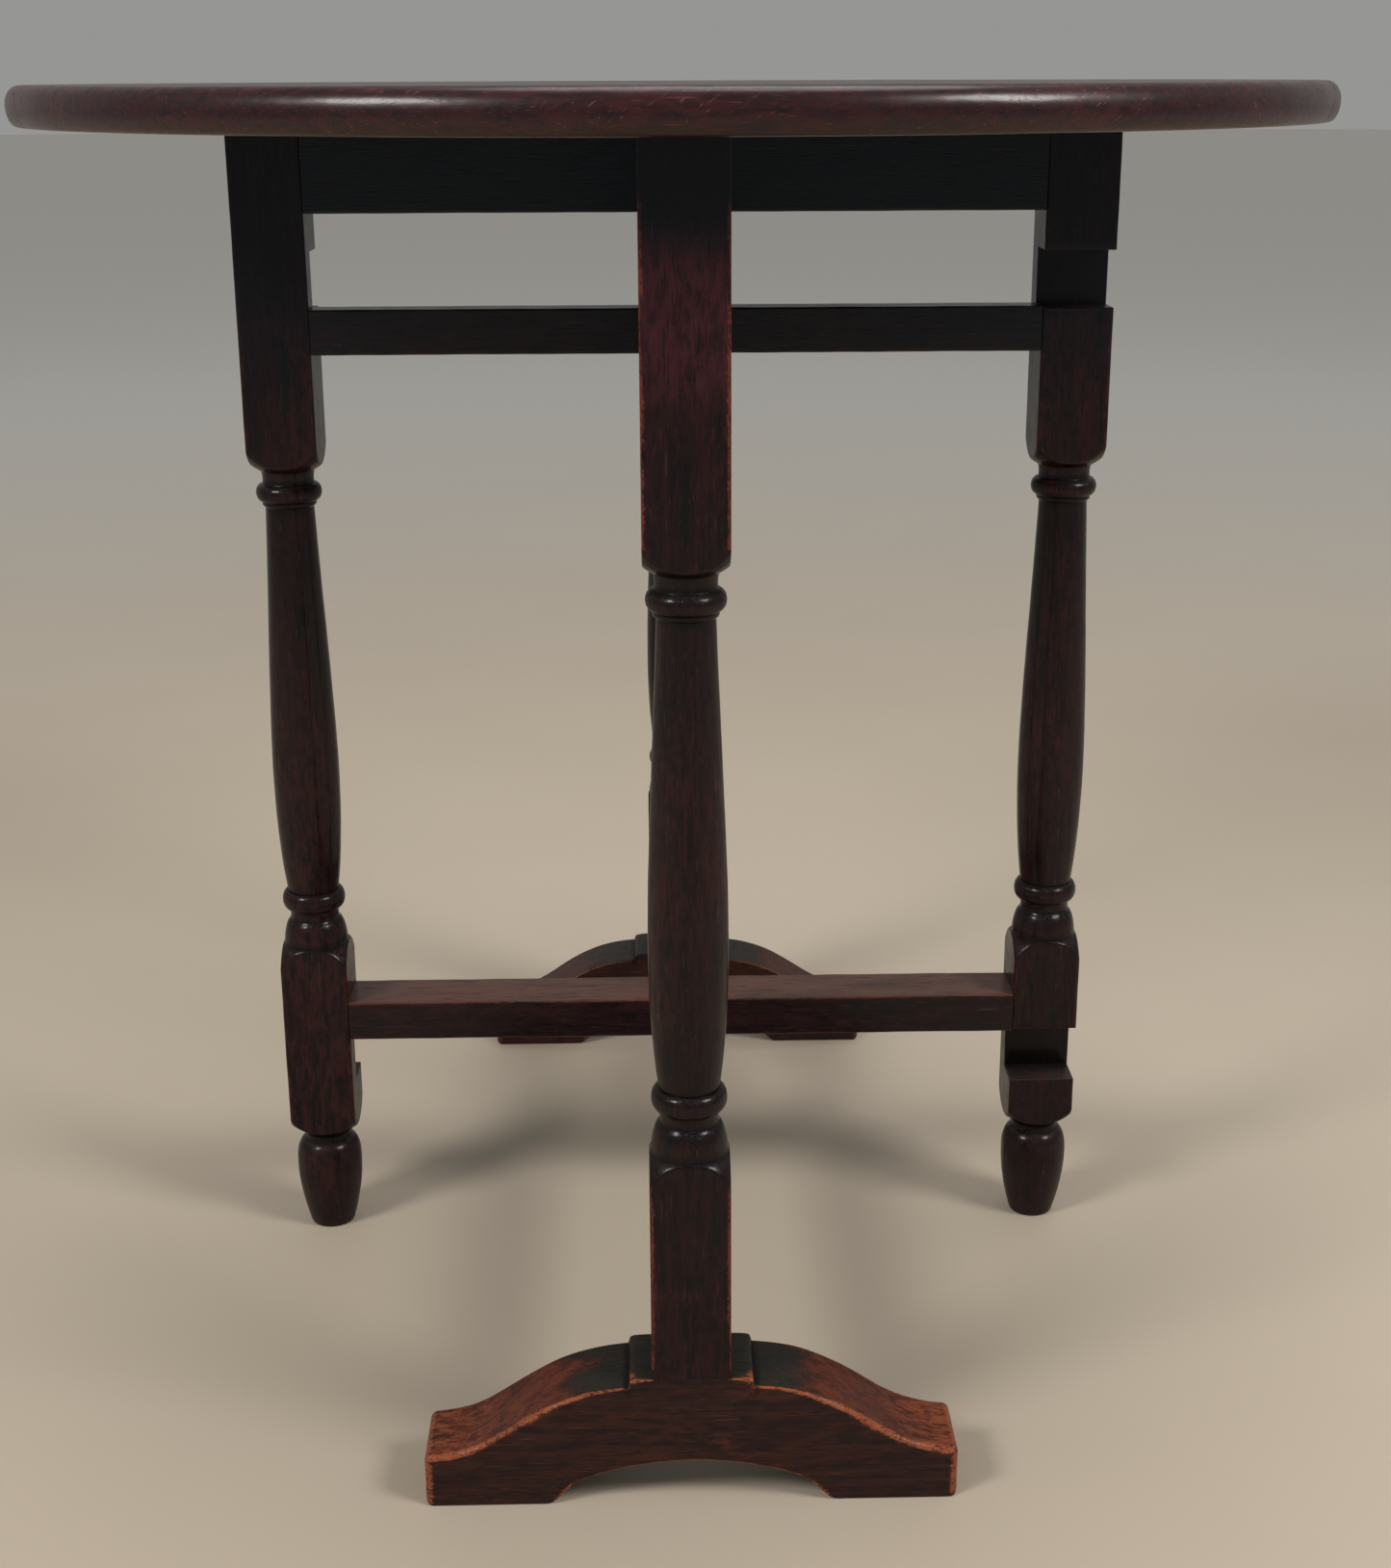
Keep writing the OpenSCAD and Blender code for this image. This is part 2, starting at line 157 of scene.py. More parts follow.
def skin(name, rings):
    """A closed mesh through equal rings of points, with a flat face on its first and last ring."""
    rings = np.asarray(rings)
    count, around = rings.shape[:2]
    i, j = np.meshgrid(np.arange(count - 1), np.arange(around), indexing="ij")
    k = (j + 1) % around
    quads = np.stack([i * around + j, i * around + k, (i + 1) * around + k, (i + 1) * around + j], -1)
    faces = quads.reshape(-1, 4).tolist()
    faces.append(list(range(around))[::-1])
    faces.append(list(range((count - 1) * around, count * around)))
    return make_mesh(name, rings.reshape(-1, 3), faces)


def prism(name, outline, low, high):
    """An outline in Y and Z, as a solid from X = low to X = high."""
    outline = np.asarray(outline, float)
    rings = [np.column_stack([np.full(len(outline), x), outline]) for x in (low, high)]
    return skin(name, rings)


def block(low, high):
    """A plain box to cut with, from its lowest to its highest corner."""
    (y0, z0), (y1, z1) = low[1:], high[1:]
    return prism("cutter", [(y0, z0), (y1, z0), (y1, z1), (y0, z1)], low[0], high[0])


def bore(x, y, low, high, radius, steps=48):
    """A round cutter along Z."""
    a = np.linspace(0, 2 * math.pi, steps, endpoint=False)
    circle = np.stack([x + radius * np.cos(a), y + radius * np.sin(a)], 1)
    return skin("cutter", [np.column_stack([circle, np.full(steps, z)]) for z in (low, high)])


def carve(piece, cutters, operation="DIFFERENCE"):
    """Cuts the piece with each cutter in turn, or keeps what is inside it."""
    for cutter in cutters:
        step = piece.modifiers.new("carve", "BOOLEAN")
        step.operation, step.solver, step.object = operation, "EXACT", cutter
    depsgraph = bpy.context.evaluated_depsgraph_get()
    carved = bpy.data.meshes.new_from_object(piece.evaluated_get(depsgraph))
    piece.modifiers.clear()
    worn_out, piece.data = piece.data, carved
    bpy.data.meshes.remove(worn_out)
    for cutter in cutters:
        bpy.data.objects.remove(cutter)


# ---- turned legs and posts ----------------------------------------------------------------------

TURNING = np.concatenate([
    bezier((CORNER_R, CARVE_TOP), (25, 499.4), (21, 496.6), (15.8, 493.6), 44),
    bezier((15.8, 493.6), (14.9, 491.4), (14.9, 488.2), (NECK_R, 486), 8),
    bead(480.7, 10.4, BEAD_R, NECK_R + 0.3),
    [(15.8, 475.4), (15.9, 474.9), (15.8, 473.6), (15.4, 473), (14.6, 472.6)],
    bezier((VASE_TOP_R, 472), (16, 416), (VASE_R, 352), (VASE_R, 306), 36),
    bezier((VASE_R, 306), (VASE_R, 280), (18.6, 252), (VASE_LOW_R, 231.8), 22),
    bead(225.1, 12.2, BEAD_R, VASE_LOW_R),
    bezier((VASE_LOW_R, 218.8), (COVE_R, 217.4), (COVE_R, 213.6), (15.3, 211.8), 10),
    bezier((16.2, 211.2), (18.4, 208.4), (19.5, 202), (19.7, 196.6), 16),
    bezier((20.1, 196.2), (22.6, 194.8), (26.2, 190), (CORNER_R, CARVE_FOOT), 44),
])
PEG = np.concatenate([
    bezier((CORNER_R, LOWER_BLOCK_END), (27, 73), (20, 70), (PEG_NECK_R + 1, 66), 40),
    bezier((PEG_NECK_R + 1, 66), (13.8, 64), (13.8, 62), (PEG_NECK_R + 0.6, 60.2), 6),
    bezier((PEG_NECK_R + 1.6, 60), (18.6, 58), (20.4, 53), (PEG_R - 0.2, 47), 12),
    bezier((PEG_R - 0.2, 47), (PEG_R + 0.6, 34), (18, 14), (PEG_TIP_R, 1.2), 24),
    [(PEG_TIP_R, 1.2), (PEG_TIP_R - 0.4, 0.4), (PEG_TIP_R - 1.2, 0)],
])
OCTANT_STEPS = 13
CORNER_CROWDING = 1.7
SHOULDER_ROUNDING = 1.0
NOTCH_ROUNDING = 0.9


def ring_angles():
    """Angles round a leg, in degrees, closest together at the corners of its square blocks."""
    t = np.arange(OCTANT_STEPS) / OCTANT_STEPS
    up = 45 - 45 * (1 - t) ** CORNER_CROWDING
    down = 45 + 45 * t**CORNER_CROWDING
    quarter = np.concatenate([up, down])
    return np.concatenate([quarter + 90 * q for q in range(4)])


def square_radius(angles, half, rounding):
    """Distance from the middle to a rounded square, with a rounding for each ring and angle."""
    from_corner = np.radians(np.abs(angles % 90 - 45))
    flat = half / np.cos(math.pi / 4 - from_corner)
    middle = (half - rounding) * math.sqrt(2)
    reach = rounding**2 - (middle * np.sin(from_corner)) ** 2
    arc = middle * np.cos(from_corner) + np.sqrt(np.maximum(reach, 0))
    tangent = math.pi / 4 - np.arctan((half - rounding) / half)
    return np.where(from_corner < tangent, arc, flat)


def straight(high, low, radius, step=7.0):
    """Outline points down a square block, from high to just above low."""
    z = np.linspace(high, low, max(2, int((high - low) / step)), endpoint=False)
    return np.stack([np.full(len(z), radius), z], 1)


def turned_piece(name, x, y, top, seed, feet=True):
    """A leg, or with feet off a post that ends in a tenon, about the vertical line at x, y."""
    outline = [straight(top, CARVE_TOP, CORNER_R), TURNING]
    if feet:
        outline += [straight(CARVE_FOOT, LOWER_BLOCK_END, CORNER_R), PEG]
    else:
        outline += [straight(CARVE_FOOT, FOOT_TOP, CORNER_R), [(CORNER_R, FOOT_TOP)]]
    radius, z = np.concatenate(outline).T
    angles = ring_angles()
    corner = (angles // 90).astype(int)
    worn = np.stack([1.25 + 0.75 * wobble(z, seed + c) for c in range(4)], 1)
    square = square_radius(angles, HALF, np.maximum(worn[:, corner], 0.5))
    turned = radius[:, None] + 0.1 * wobble(z, seed + 9)[:, None]
    reach = soft_min(turned, square, SHOULDER_ROUNDING)
    if not feet:
        tenon_rounding = np.full(angles.shape, POST_TENON_ROUNDING)
        tenon = square_radius(angles, POST_TENON_HALF, tenon_rounding)
        reach = np.vstack([reach, tenon, tenon])
        z = np.concatenate([z, [FOOT_TOP, FOOT_TOP - POST_TENON_LENGTH]])
    a = np.radians(angles)
    rings = np.stack([
        x + reach * np.cos(a),
        y + reach * np.sin(a),
        np.repeat(z[:, None], len(a), 1),
    ], -1)
    return skin(name, rings)


def flared_notch(x, y, side, span):
    """Cutter for a leg's notch, open to side (+1 or -1) in Y, with its mouth rounded over."""
    rounding = NOTCH_ROUNDING
    reach = HALF + 6

    def flare(distance):
        """How much wider the notch is at a distance from the leg's middle."""
        t = np.clip((distance - (HALF - rounding)) / rounding, 0, 1)
        return rounding * (1 - np.sqrt(1 - np.minimum(t, 0.999) ** 2))

    edge = HALF - rounding + rounding * np.array([0, 0.3, 0.55, 0.75, 0.88, 0.96, 1])
    across = np.concatenate([[-reach], -edge[::-1], edge, [reach]])
    out = np.concatenate([[HALF - NOTCH_DEPTH], edge, [reach]])
    rings = []
    for px in across:
        grow = flare(abs(px))
        depth = out.copy()
        depth[0] -= grow
        lift = np.maximum(grow, flare(out))
        lower = np.column_stack([depth, span[0] - lift])
        upper = np.column_stack([depth, span[1] + lift])[::-1]
        loop = np.concatenate([lower, upper])
        rings.append(np.column_stack([np.full(len(loop), x + px), y + side * loop[:, 0], loop[:, 1]]))
    return skin("cutter", rings)


# ---- rails and feet -----------------------------------------------------------------------------

ARC_STEPS = 6
ARC_SIGNS = ((1, 1), (-1, 1), (-1, -1), (1, -1))
LEAST_ROUNDING = 0.4


def section(low, high, roundings, supports):
    """A rectangle between two corners, with a rounding for each corner, anticlockwise from the one
    at high, high. It has the same number of points for any size."""
    low, high = np.asarray(low, float), np.asarray(high, float)
    arc = np.linspace(0, math.pi / 2, ARC_STEPS)
    arcs = []
    for n, sign in enumerate(np.array(ARC_SIGNS)):
        middle = np.where(sign > 0, high, low) - roundings[n] * sign
        turn = arc + n * math.pi / 2
        arcs.append(middle + roundings[n] * np.stack([np.cos(turn), np.sin(turn)], 1))
    loop = []
    for n in range(4):
        start, end = arcs[n][-1], arcs[(n + 1) % 4][0]
        shares = np.array(supports[n % 2])[:, None]
        loop += [arcs[n], start + shares * (end - start)]
    return np.concatenate(loop)


def shares_along(length):
    """Where the support points of a side go: close to each arris, and evenly in between."""
    near = [1.2 / length, 3.5 / length]
    middle = [0.5] if length < 16 else list(np.linspace(0.28, 0.72, 4))
    return near + middle + [1 - s for s in near[::-1]]


def sweep(name, stations, lows, highs, roundings, axis, tenon=None):
    """A bar along X or Y through rounded sections. tenon gives its length and section."""
    supports = (
        shares_along(highs[0][0] - lows[0][0]),
        shares_along(max(h[1] - l[1] for l, h in zip(lows, highs))),
    )
    loops = [section(l, h, r, supports) for l, h, r in zip(lows, highs, roundings)]
    stations = list(stations)
    if tenon:
        length, t_low, t_high = tenon
        stub = section(t_low, t_high, [TENON_ROUNDING] * 4, supports)
        loops = [stub, stub, *loops, stub, stub]
        stations = [stations[0] - length, stations[0], *stations, stations[-1], stations[-1] + length]
    rings = []
    for at, loop in zip(stations, loops):
        along = np.full(len(loop), at)
        columns = [along, loop[:, 0], loop[:, 1]] if axis == "X" else [-loop[:, 0], along, loop[:, 1]]
        rings.append(np.column_stack(columns))
    return skin(name, rings)


def rail(name, axis, reach, low, high, seed, rounding=1.0, step=6.0):
    """A straight rail between two shoulders, a little uneven along its arrises, with its tenons."""
    stations = np.linspace(-reach, reach, int(2 * reach / step))
    uneven = np.stack([rounding * (1 + 0.5 * wobble(stations, seed + n)) for n in range(4)], 1)
    drift = 0.12 * wobble(stations, seed + 5)
    lows = [(low[0], low[1] + d) for d in drift]
    highs = [(high[0], high[1] + d) for d in drift]
    middle = (low[0] + high[0]) / 2
    tenon_low = (middle - TENON_T / 2, low[1] + TENON_SHOULDER)
    tenon_high = (middle + TENON_T / 2, high[1] - TENON_SHOULDER)
    tenon = (TENON_LENGTH - TENON_END_GAP, tenon_low, tenon_high)
    return sweep(name, stations, lows, highs, np.maximum(uneven, LEAST_ROUNDING), axis, tenon)


def mortise(x, y, turn, low, high):
    """Cutter for a rail's tenon in a leg at x, y. turn is the side that it comes from, X or Y."""
    middle = (low[0] + high[0]) / 2
    half = TENON_T / 2
    inner = HALF - TENON_LENGTH
    if turn == "X":
        side = -1 if x > 0 else 1
        ends = sorted([x + side * inner, x + side * (HALF + PAST)])
        return block((ends[0], middle - half, low[1] + TENON_SHOULDER),
                     (ends[1], middle + half, high[1] - TENON_SHOULDER))
    side = -1 if y > 0 else 1
    ends = sorted([y + side * inner, y + side * (HALF + PAST)])
    return block((-half - middle, ends[0], low[1] + TENON_SHOULDER),
                 (half - middle, ends[1], high[1] - TENON_SHOULDER))


FOOT_UPPER = np.concatenate([
    [(0, FOOT_TOP), (18, FOOT_TOP), (22, FOOT_TOP), (25, FOOT_TOP), (28, FOOT_TOP - 0.1)],
    [(30, FOOT_TOP - 0.3), (31.3, FOOT_TOP - 0.7), (31.9, FOOT_TOP - 1.3), (32.2, FOOT_TOP - 2.2)],
    [(32.5, 71), (32.7, 70), (33.2, 69.2)],
    bezier((33.6, 69.2), (62, 67.5), (78, 57), (92, 47.5), 26),
    bezier((92, 47.5), (106, 38), (118, 30), (FOOT_END, 30), 22),
    [(FOOT_END, 30)],
])
FOOT_LOWER = np.concatenate([
    bezier((0, 25), (18, 25), (42, 22), (61, 12.5), 24),
    bezier((61, 12.5), (67, 8), (70, 1), (76, 0), 16),
    [(76.5, 0), (FOOT_END, 0)],
])
# How far the upper arrises of a foot are worn round, at distances out from its middle
OUTER_WEAR = np.array([
    (0, 0.5), (20, 0.5), (24, 1.4), (31, 2.8),
    (34, 1.4), (60, 2), (95, 3), (135, 3.8),
])
INNER_WEAR = np.array([(0, 0.5), (20, 0.5), (31, 1.2), (95, 2), (135, 2.6)])
UNDER_ROUNDING = 1.2
END_ROUNDING = 4.0
ARM_START, ARM_EASE, ARM_UNEVEN = 40, 25, 0.35


def sledge_foot(name, side, low, high, seed):
    """An arched foot along X, with rounded ends. side is +1 at the rear and -1 at the front."""
    inner = np.unique(np.concatenate([FOOT_UPPER[:, 0], FOOT_LOWER[:, 0], np.arange(96, 134, 5)]))
    inner = inner[inner < FOOT_END - END_ROUNDING - 0.7]
    turn = np.linspace(0, math.pi / 2, 8)
    end_x = FOOT_END - END_ROUNDING * (1 - np.sin(turn))
    end_inset = END_ROUNDING * (1 - np.cos(turn))
    half_x = np.concatenate([inner, end_x])
    half_inset = np.concatenate([np.zeros(len(inner)), end_inset])
    x = np.concatenate([-half_x[:0:-1], half_x])
    inset = np.concatenate([half_inset[:0:-1], half_inset])
    out = np.abs(x)
    top = np.interp(out, *FOOT_UPPER.T) - inset
    bottom = np.interp(out, *FOOT_LOWER.T) + inset
    top = top + np.clip((out - ARM_START) / ARM_EASE, 0, 1) * ARM_UNEVEN * wobble(x, seed)
    outer = np.interp(out, *OUTER_WEAR.T) * (1 + 0.3 * wobble(x, seed + 1))
    inward = np.interp(out, *INNER_WEAR.T) * (1 + 0.3 * wobble(x, seed + 2))
    under = np.full(len(x), UNDER_ROUNDING)
    corners = [outer, inward, under, under] if side > 0 else [inward, outer, under, under]
    roundings = np.maximum(np.stack(corners, 1) - inset[:, None], LEAST_ROUNDING)
    lows = [(low + i, b) for i, b in zip(inset, bottom)]
    highs = [(high - i, t) for i, t in zip(inset, top)]
    foot = sweep(name, x, lows, highs, roundings, "X")
    half, y = POST_TENON_HALF, side * POST_Y
    socket_floor = FOOT_TOP - POST_TENON_LENGTH - POST_TENON_GAP
    carve(foot, [block((-half, y - half, socket_floor), (half, y + half, FOOT_TOP + 4 * PAST))])
    return foot


# ---- the top ------------------------------------------------------------------------------------


def round_board(name):
    """The whole round top, turned, with its elliptical edge."""
    steps = 360
    over = np.radians(np.linspace(90, 0, 15))
    under = np.radians(np.linspace(0, -90, 12))[1:]
    edge = np.concatenate([
        np.stack([
            TOP_RADIUS - EDGE_OVER + EDGE_OVER * np.cos(over),
            TABLE_HEIGHT - EDGE_DROP + EDGE_DROP * np.sin(over),
        ], 1),
        np.stack([
            TOP_RADIUS - EDGE_UNDER + EDGE_UNDER * np.cos(under),
            TABLE_HEIGHT - EDGE_DROP + (TABLE_HEIGHT - UNDER_TOP - EDGE_DROP) * np.sin(under),
        ], 1),
    ])
    a = np.linspace(0, 2 * math.pi, steps, endpoint=False)
    rings = [
        np.column_stack([r * np.cos(a), r * np.sin(a), np.full(steps, z)])
        for r, z in edge
    ]
    return skin(name, rings)


def quarter(radius, first, last, steps):
    """Points on a circle round the hinge's axis, from angle first to angle last, in degrees."""
    a = np.radians(np.linspace(first, last, steps))
    return np.stack([JOINT_Y + radius * np.cos(a), HINGE_Z + radius * np.sin(a)], 1)


def arris(y, first, last):
    """A small rounded edge at the top of a joint, whose upright face is at y."""
    inward = -1 if first < last else 1
    a = np.radians(np.linspace(first, last, 5))
    middle = y + inward * ARRIS
    return np.stack([middle + ARRIS * np.cos(a), TABLE_HEIGHT - ARRIS + ARRIS * np.sin(a)], 1)


def mirrored(points):
    """The same outline on the other side of the top's middle."""
    return points[::-1] * np.array([-1, 1])


def centre_board():
    """The fixed board, with the rounded half of a rule joint on both sides."""
    above, below = TABLE_HEIGHT + 2 * PAST, UNDER_TOP - 2 * PAST
    side = np.concatenate([
        [(JOINT_Y + RULE_RADIUS, below)],
        quarter(RULE_RADIUS, 0, 90, 22),
        arris(JOINT_Y, 0, 82),
        [(JOINT_Y - ARRIS, above)],
    ])
    board = round_board("centre_board")
    reach = TOP_RADIUS + FAR_PAST
    carve(board, [prism("cutter", np.concatenate([side, mirrored(side)]), -reach, reach)], "INTERSECT")
    knuckle_top = HINGE_Z + KNUCKLE_R + KNUCKLE_OVER_GAP
    cutters = []
    for y_side in (-1, 1):
        for x in (-HINGE_X, HINGE_X):
            x_low, x_high = x - HINGE_HALF, x + HINGE_HALF
            near, far = sorted([y_side * (JOINT_Y - FIXED_FLAP), y_side * JOINT_Y])
            cutters.append(block((x_low, near, UNDER_TOP - PAST), (x_high, far, UNDER_TOP + PLATE_T)))
            near, far = sorted([
                y_side * (JOINT_Y - KNUCKLE_R - KNUCKLE_SIDE_GAP),
                y_side * (JOINT_Y + RULE_RADIUS + PAST),
            ])
            cutters.append(block((x_low - KNUCKLE_END_GAP, near, UNDER_TOP - PAST),
                                 (x_high + KNUCKLE_END_GAP, far, knuckle_top)))
    carve(board, cutters)
    return board


def leaf(name, side):
    """A leaf, with the hollow half of a rule joint. side is +1 at the rear and -1 at the front."""
    above, below, far = TABLE_HEIGHT + 2 * PAST, UNDER_TOP - 2 * PAST, TOP_RADIUS + FAR_PAST
    hollow = RULE_RADIUS + COVE_GAP
    start = math.degrees(math.acos(RULE_GAP / hollow))
    outline = np.concatenate([
        [(JOINT_Y + RULE_GAP + ARRIS, above)],
        arris(JOINT_Y + RULE_GAP, 98, 180),
        quarter(hollow, start, 0, 22),
        [(JOINT_Y + hollow, below), (far, below), (far, above)],
    ])
    outline[:, 0] *= side
    board = round_board(name)
    carve(board, [prism("cutter", outline, -far, far)], "INTERSECT")
    cutters = []
    for x in (-HINGE_X, HINGE_X):
        near, wide = sorted([side * JOINT_Y, side * (JOINT_Y + LEAF_FLAP)])
        cutters.append(block((x - HINGE_HALF, near, UNDER_TOP - PAST),
                             (x + HINGE_HALF, wide, UNDER_TOP + PLATE_T)))
    carve(board, cutters)
    return board


# ---- wear ---------------------------------------------------------------------------------------

GENTLE, STEEP = math.radians(8), math.radians(12)
SHARP = math.radians(32)
# How far, in millimetres, painted shade spreads from a hollow edge, and wear from an arris and from a
# foot's arris
HOLLOW_SHADE_REACH, ARRIS_REACH, FOOT_REACH = 4.5, 2.0, 3.0


def spread(mesh, edges, reach):
    """For each vertex, how near it is to the given edges, from 1 on a steep one to 0 at reach."""
    tree = kdtree.KDTree(max(1, 3 * len(edges)))
    strength = []
    for edge, angle in edges:
        share = min(1.0, (angle - GENTLE) / (STEEP - GENTLE))
        a, b = edge.verts[0].co, edge.verts[1].co
        for point in (a, (a + b) / 2, b):
            tree.insert(point, len(strength))
            strength.append(share)
    tree.balance()
    values = np.zeros(len(mesh.vertices), np.float32)
    if not strength:
        return values
    for vertex in mesh.vertices:
        _, index, distance = tree.find(vertex.co)
        values[vertex.index] = strength[index] * max(0.0, 1 - distance / (reach * MM))
    return values


def inside(edge, boxes):
    """Whether an edge's middle is in one of the boxes, given by their corners in millimetres."""
    middle = (edge.verts[0].co + edge.verts[1].co) / (2 * MM)
    return any(all(l <= m <= h for l, m, h in zip(low, middle, high)) for low, high in boxes)


def age(piece, reach, sheltered):
    """Gives the mesh its wear attribute from its convex edges and its painted-shade attribute from its
    hollow edges, and shades it smooth.
    Edges in the sheltered boxes don't wear, as where two pieces meet."""
    mesh = piece.data
    reader = bmesh.new()
    reader.from_mesh(mesh)
    convex, hollow = [], []
    for edge in reader.edges:
        angle = edge.calc_face_angle_signed(0)
        if angle > GENTLE and not inside(edge, sheltered):
            convex.append((edge, angle))
        elif angle < -GENTLE:
            hollow.append((edge, -angle))
    # The hollow edges give the mask for the painted shade in creases and recesses
    for name, edges, far in (("wear", convex, reach), ("hollow_shade", hollow, HOLLOW_SHADE_REACH)):
        attribute = mesh.attributes.new(name, "FLOAT", "POINT")
        attribute.data.foreach_set("value", spread(mesh, edges, far))
    reader.free()
    mesh.shade_smooth()
    mesh.set_sharp_from_angle(angle=SHARP)


# ---- materials ----------------------------------------------------------------------------------


class Tree:
    """Short names for making and joining the nodes of one material."""

    def __init__(self, name):
        self.material = bpy.data.materials.new(name)
        self.material.use_nodes = True
        self.nodes = self.material.node_tree.nodes
        self.links = self.material.node_tree.links
        self.shader = next(n for n in self.nodes if n.type == "BSDF_PRINCIPLED")

    def add(self, kind, inputs=None, **settings):
        """A new node, with its settings and with a value or a link for each named input."""
        made = self.nodes.new("ShaderNode" + kind)
        for key, value in settings.items():
            setattr(made, key, value)
        for key, value in (inputs or {}).items():
            self.put(made.inputs[key], value)
        return made

    def put(self, socket, value):
        """Joins an output to the socket, or sets the socket to a plain value."""
        if isinstance(value, bpy.types.NodeSocket):
            self.links.new(value, socket)
        else:
            socket.default_value = value

    def noise(self, vector, scale=1.0, detail=3.0, rough=0.55, distort=0.0):
        """Smooth noise that is mostly near 0.5."""
        values = {"Vector": vector, "Scale": scale, "Detail": detail, "Roughness": rough,
                  "Distortion": distort}
        return self.add("TexNoise", values).outputs["Fac"]

    def ramp(self, value, low, high, to_low=0.0, to_high=1.0):
        """value from low..high to to_low..to_high, eased and held at both ends."""
        values = {"Value": value, "From Min": low, "From Max": high, "To Min": to_low, "To Max": to_high}
        return self.add("MapRange", values, interpolation_type="SMOOTHSTEP").outputs["Result"]

    def math(self, operation, a, b=0.0):
        """One sum, product or function of a and b."""
        return self.add("Math", {0: a, 1: b}, operation=operation).outputs[0]

    def around_zero(self, noise, size):
        """Noise moved from about 0.5 to about 0, and scaled."""
        return self.math("MULTIPLY", self.math("SUBTRACT", noise, 0.5), size)

    def mix(self, share, a, b):
        """The colour a with a share of the colour b."""
        made = self.add("Mix", data_type="RGBA")
        self.put(made.inputs[0], share)
        self.put(made.inputs[6], a)
        self.put(made.inputs[7], b)
        return made.outputs[2]

    def stretched(self, along, across, axis, offset):
        """Object coordinates stretched along the grain, moved by offset for each piece."""
        scale = [along if letter == axis else across for letter in "XYZ"]
        place = self.add("TexCoord").outputs["Object"]
        moved = self.add("Mapping", {"Vector": place, "Location": offset, "Scale": scale})
        return moved.outputs["Vector"]


def rgb(red, green, blue):
    """A colour given on the 0 to 255 scale of a screen, as linear light."""
    linear = []
    for value in (red, green, blue):
        share = value / 255
        linear.append(share / 12.92 if share <= 0.04045 else ((share + 0.055) / 1.055) ** 2.4)
    return (*linear, 1.0)


FRAME_TONES = {
    "deep": rgb(13, 9, 11), "mid": rgb(29, 15, 16), "warm": rgb(60, 26, 28), "worn": rgb(108, 50, 34),
    "pore": rgb(6, 4, 4), "dust": rgb(70, 62, 58), "scratch": rgb(92, 70, 60), "blush": rgb(68, 31, 38),
}
RAIL_TONES = {**FRAME_TONES, "dust": rgb(106, 72, 60)}
TOP_TONES = {
    "deep": rgb(22, 7, 10), "mid": rgb(47, 12, 17), "warm": rgb(72, 22, 25), "worn": rgb(88, 38, 32),
    "pore": rgb(12, 6, 7), "dust": rgb(42, 30, 28), "scratch": rgb(126, 96, 84),
}
FOOT_TONES = {
    "deep": rgb(34, 22, 22), "mid": rgb(48, 30, 28), "warm": rgb(106, 54, 38), "worn": rgb(146, 80, 50),
    "pore": rgb(12, 8, 8), "dust": rgb(42, 42, 35), "scratch": rgb(128, 88, 64),
}
# Painted shade: blue-black for what is high up under the top
UNDER_TOP_SHADE = rgb(8, 19, 29)
# Painted shade: near-black for creases and recesses
HOLLOW_SHADE = rgb(7, 5, 5)


# How the fine slanting scratches are turned, and the length and width of their noise in metres
SLANT = (0.3, -0.6, 0.35)
SLANT_SIZE = (1 / 40, 1 / 1000, 1 / 1000)


class Grain:
    """The noise fields of one board, all stretched along its grain."""

    def __init__(self, t, axis, seed):
        offset = tuple(np.random.default_rng(seed).uniform(-3, 3, 3))

        def field(along, across, **settings):
            return t.noise(t.stretched(along, across, axis, offset), **settings)

        self.cloud = field(6, 14, detail=4, rough=0.6)
        self.patch = field(15, 48, detail=5, rough=0.7)
        self.mottle = field(90, 260, detail=4, rough=0.7)
        self.speck = field(520, 800, detail=2, rough=0.6)
        self.scratches = t.ramp(field(40, 900, detail=1, rough=0.4), 0.72, 0.76)
        self.streaks = field(11, 460, detail=4, rough=0.62)
        self.flecks = field(130, 1000, detail=2, rough=0.5)
        self.hand = field(22, 60, detail=2)
        broad = field(2.2, 26, detail=3, distort=0.5)
        self.rings = t.ramp(t.math("SINE", t.math("MULTIPLY", broad, 60)), -0.5, 1.0)
        pores = t.ramp(field(75, 1300, detail=2, rough=0.5), 0.56, 0.66)
        self.pores = t.math("MULTIPLY", pores, t.ramp(self.rings, 0.0, 1.0, 0.45, 1.0))
        slant = {"Vector": t.add("TexCoord").outputs["Object"], "Location": offset,
                 "Rotation": SLANT, "Scale": SLANT_SIZE}
        slanted = t.add("Mapping", slant, vector_type="TEXTURE").outputs["Vector"]
        knocks = t.ramp(t.noise(slanted, detail=1, rough=0.4), 0.68, 0.73)
        self.knocks = t.math("MULTIPLY", knocks, t.ramp(self.cloud, 0.46, 0.6))


def heights(t, low, high):
    """0 below low and 1 above high, both in metres above the floor."""
    place = t.add("SeparateXYZ", {0: t.add("TexCoord").outputs["Object"]})
    return t.ramp(place.outputs["Z"], low, high)


def facing_up(t):
    """1 where a surface faces up, and 0 where it stands upright."""
    facing = t.add("SeparateXYZ", {0: t.add("TexCoord").outputs["Normal"]})
    return t.ramp(facing.outputs["Z"], 0.55, 0.9)


# Distances from a foot's middle, in metres, over which its upper faces change
TREAD_REDDENS, TREAD_LOSES_DUST, TREAD_BARES = (0.05, 0.075), (0.07, 0.048), (0.09, 0.14)


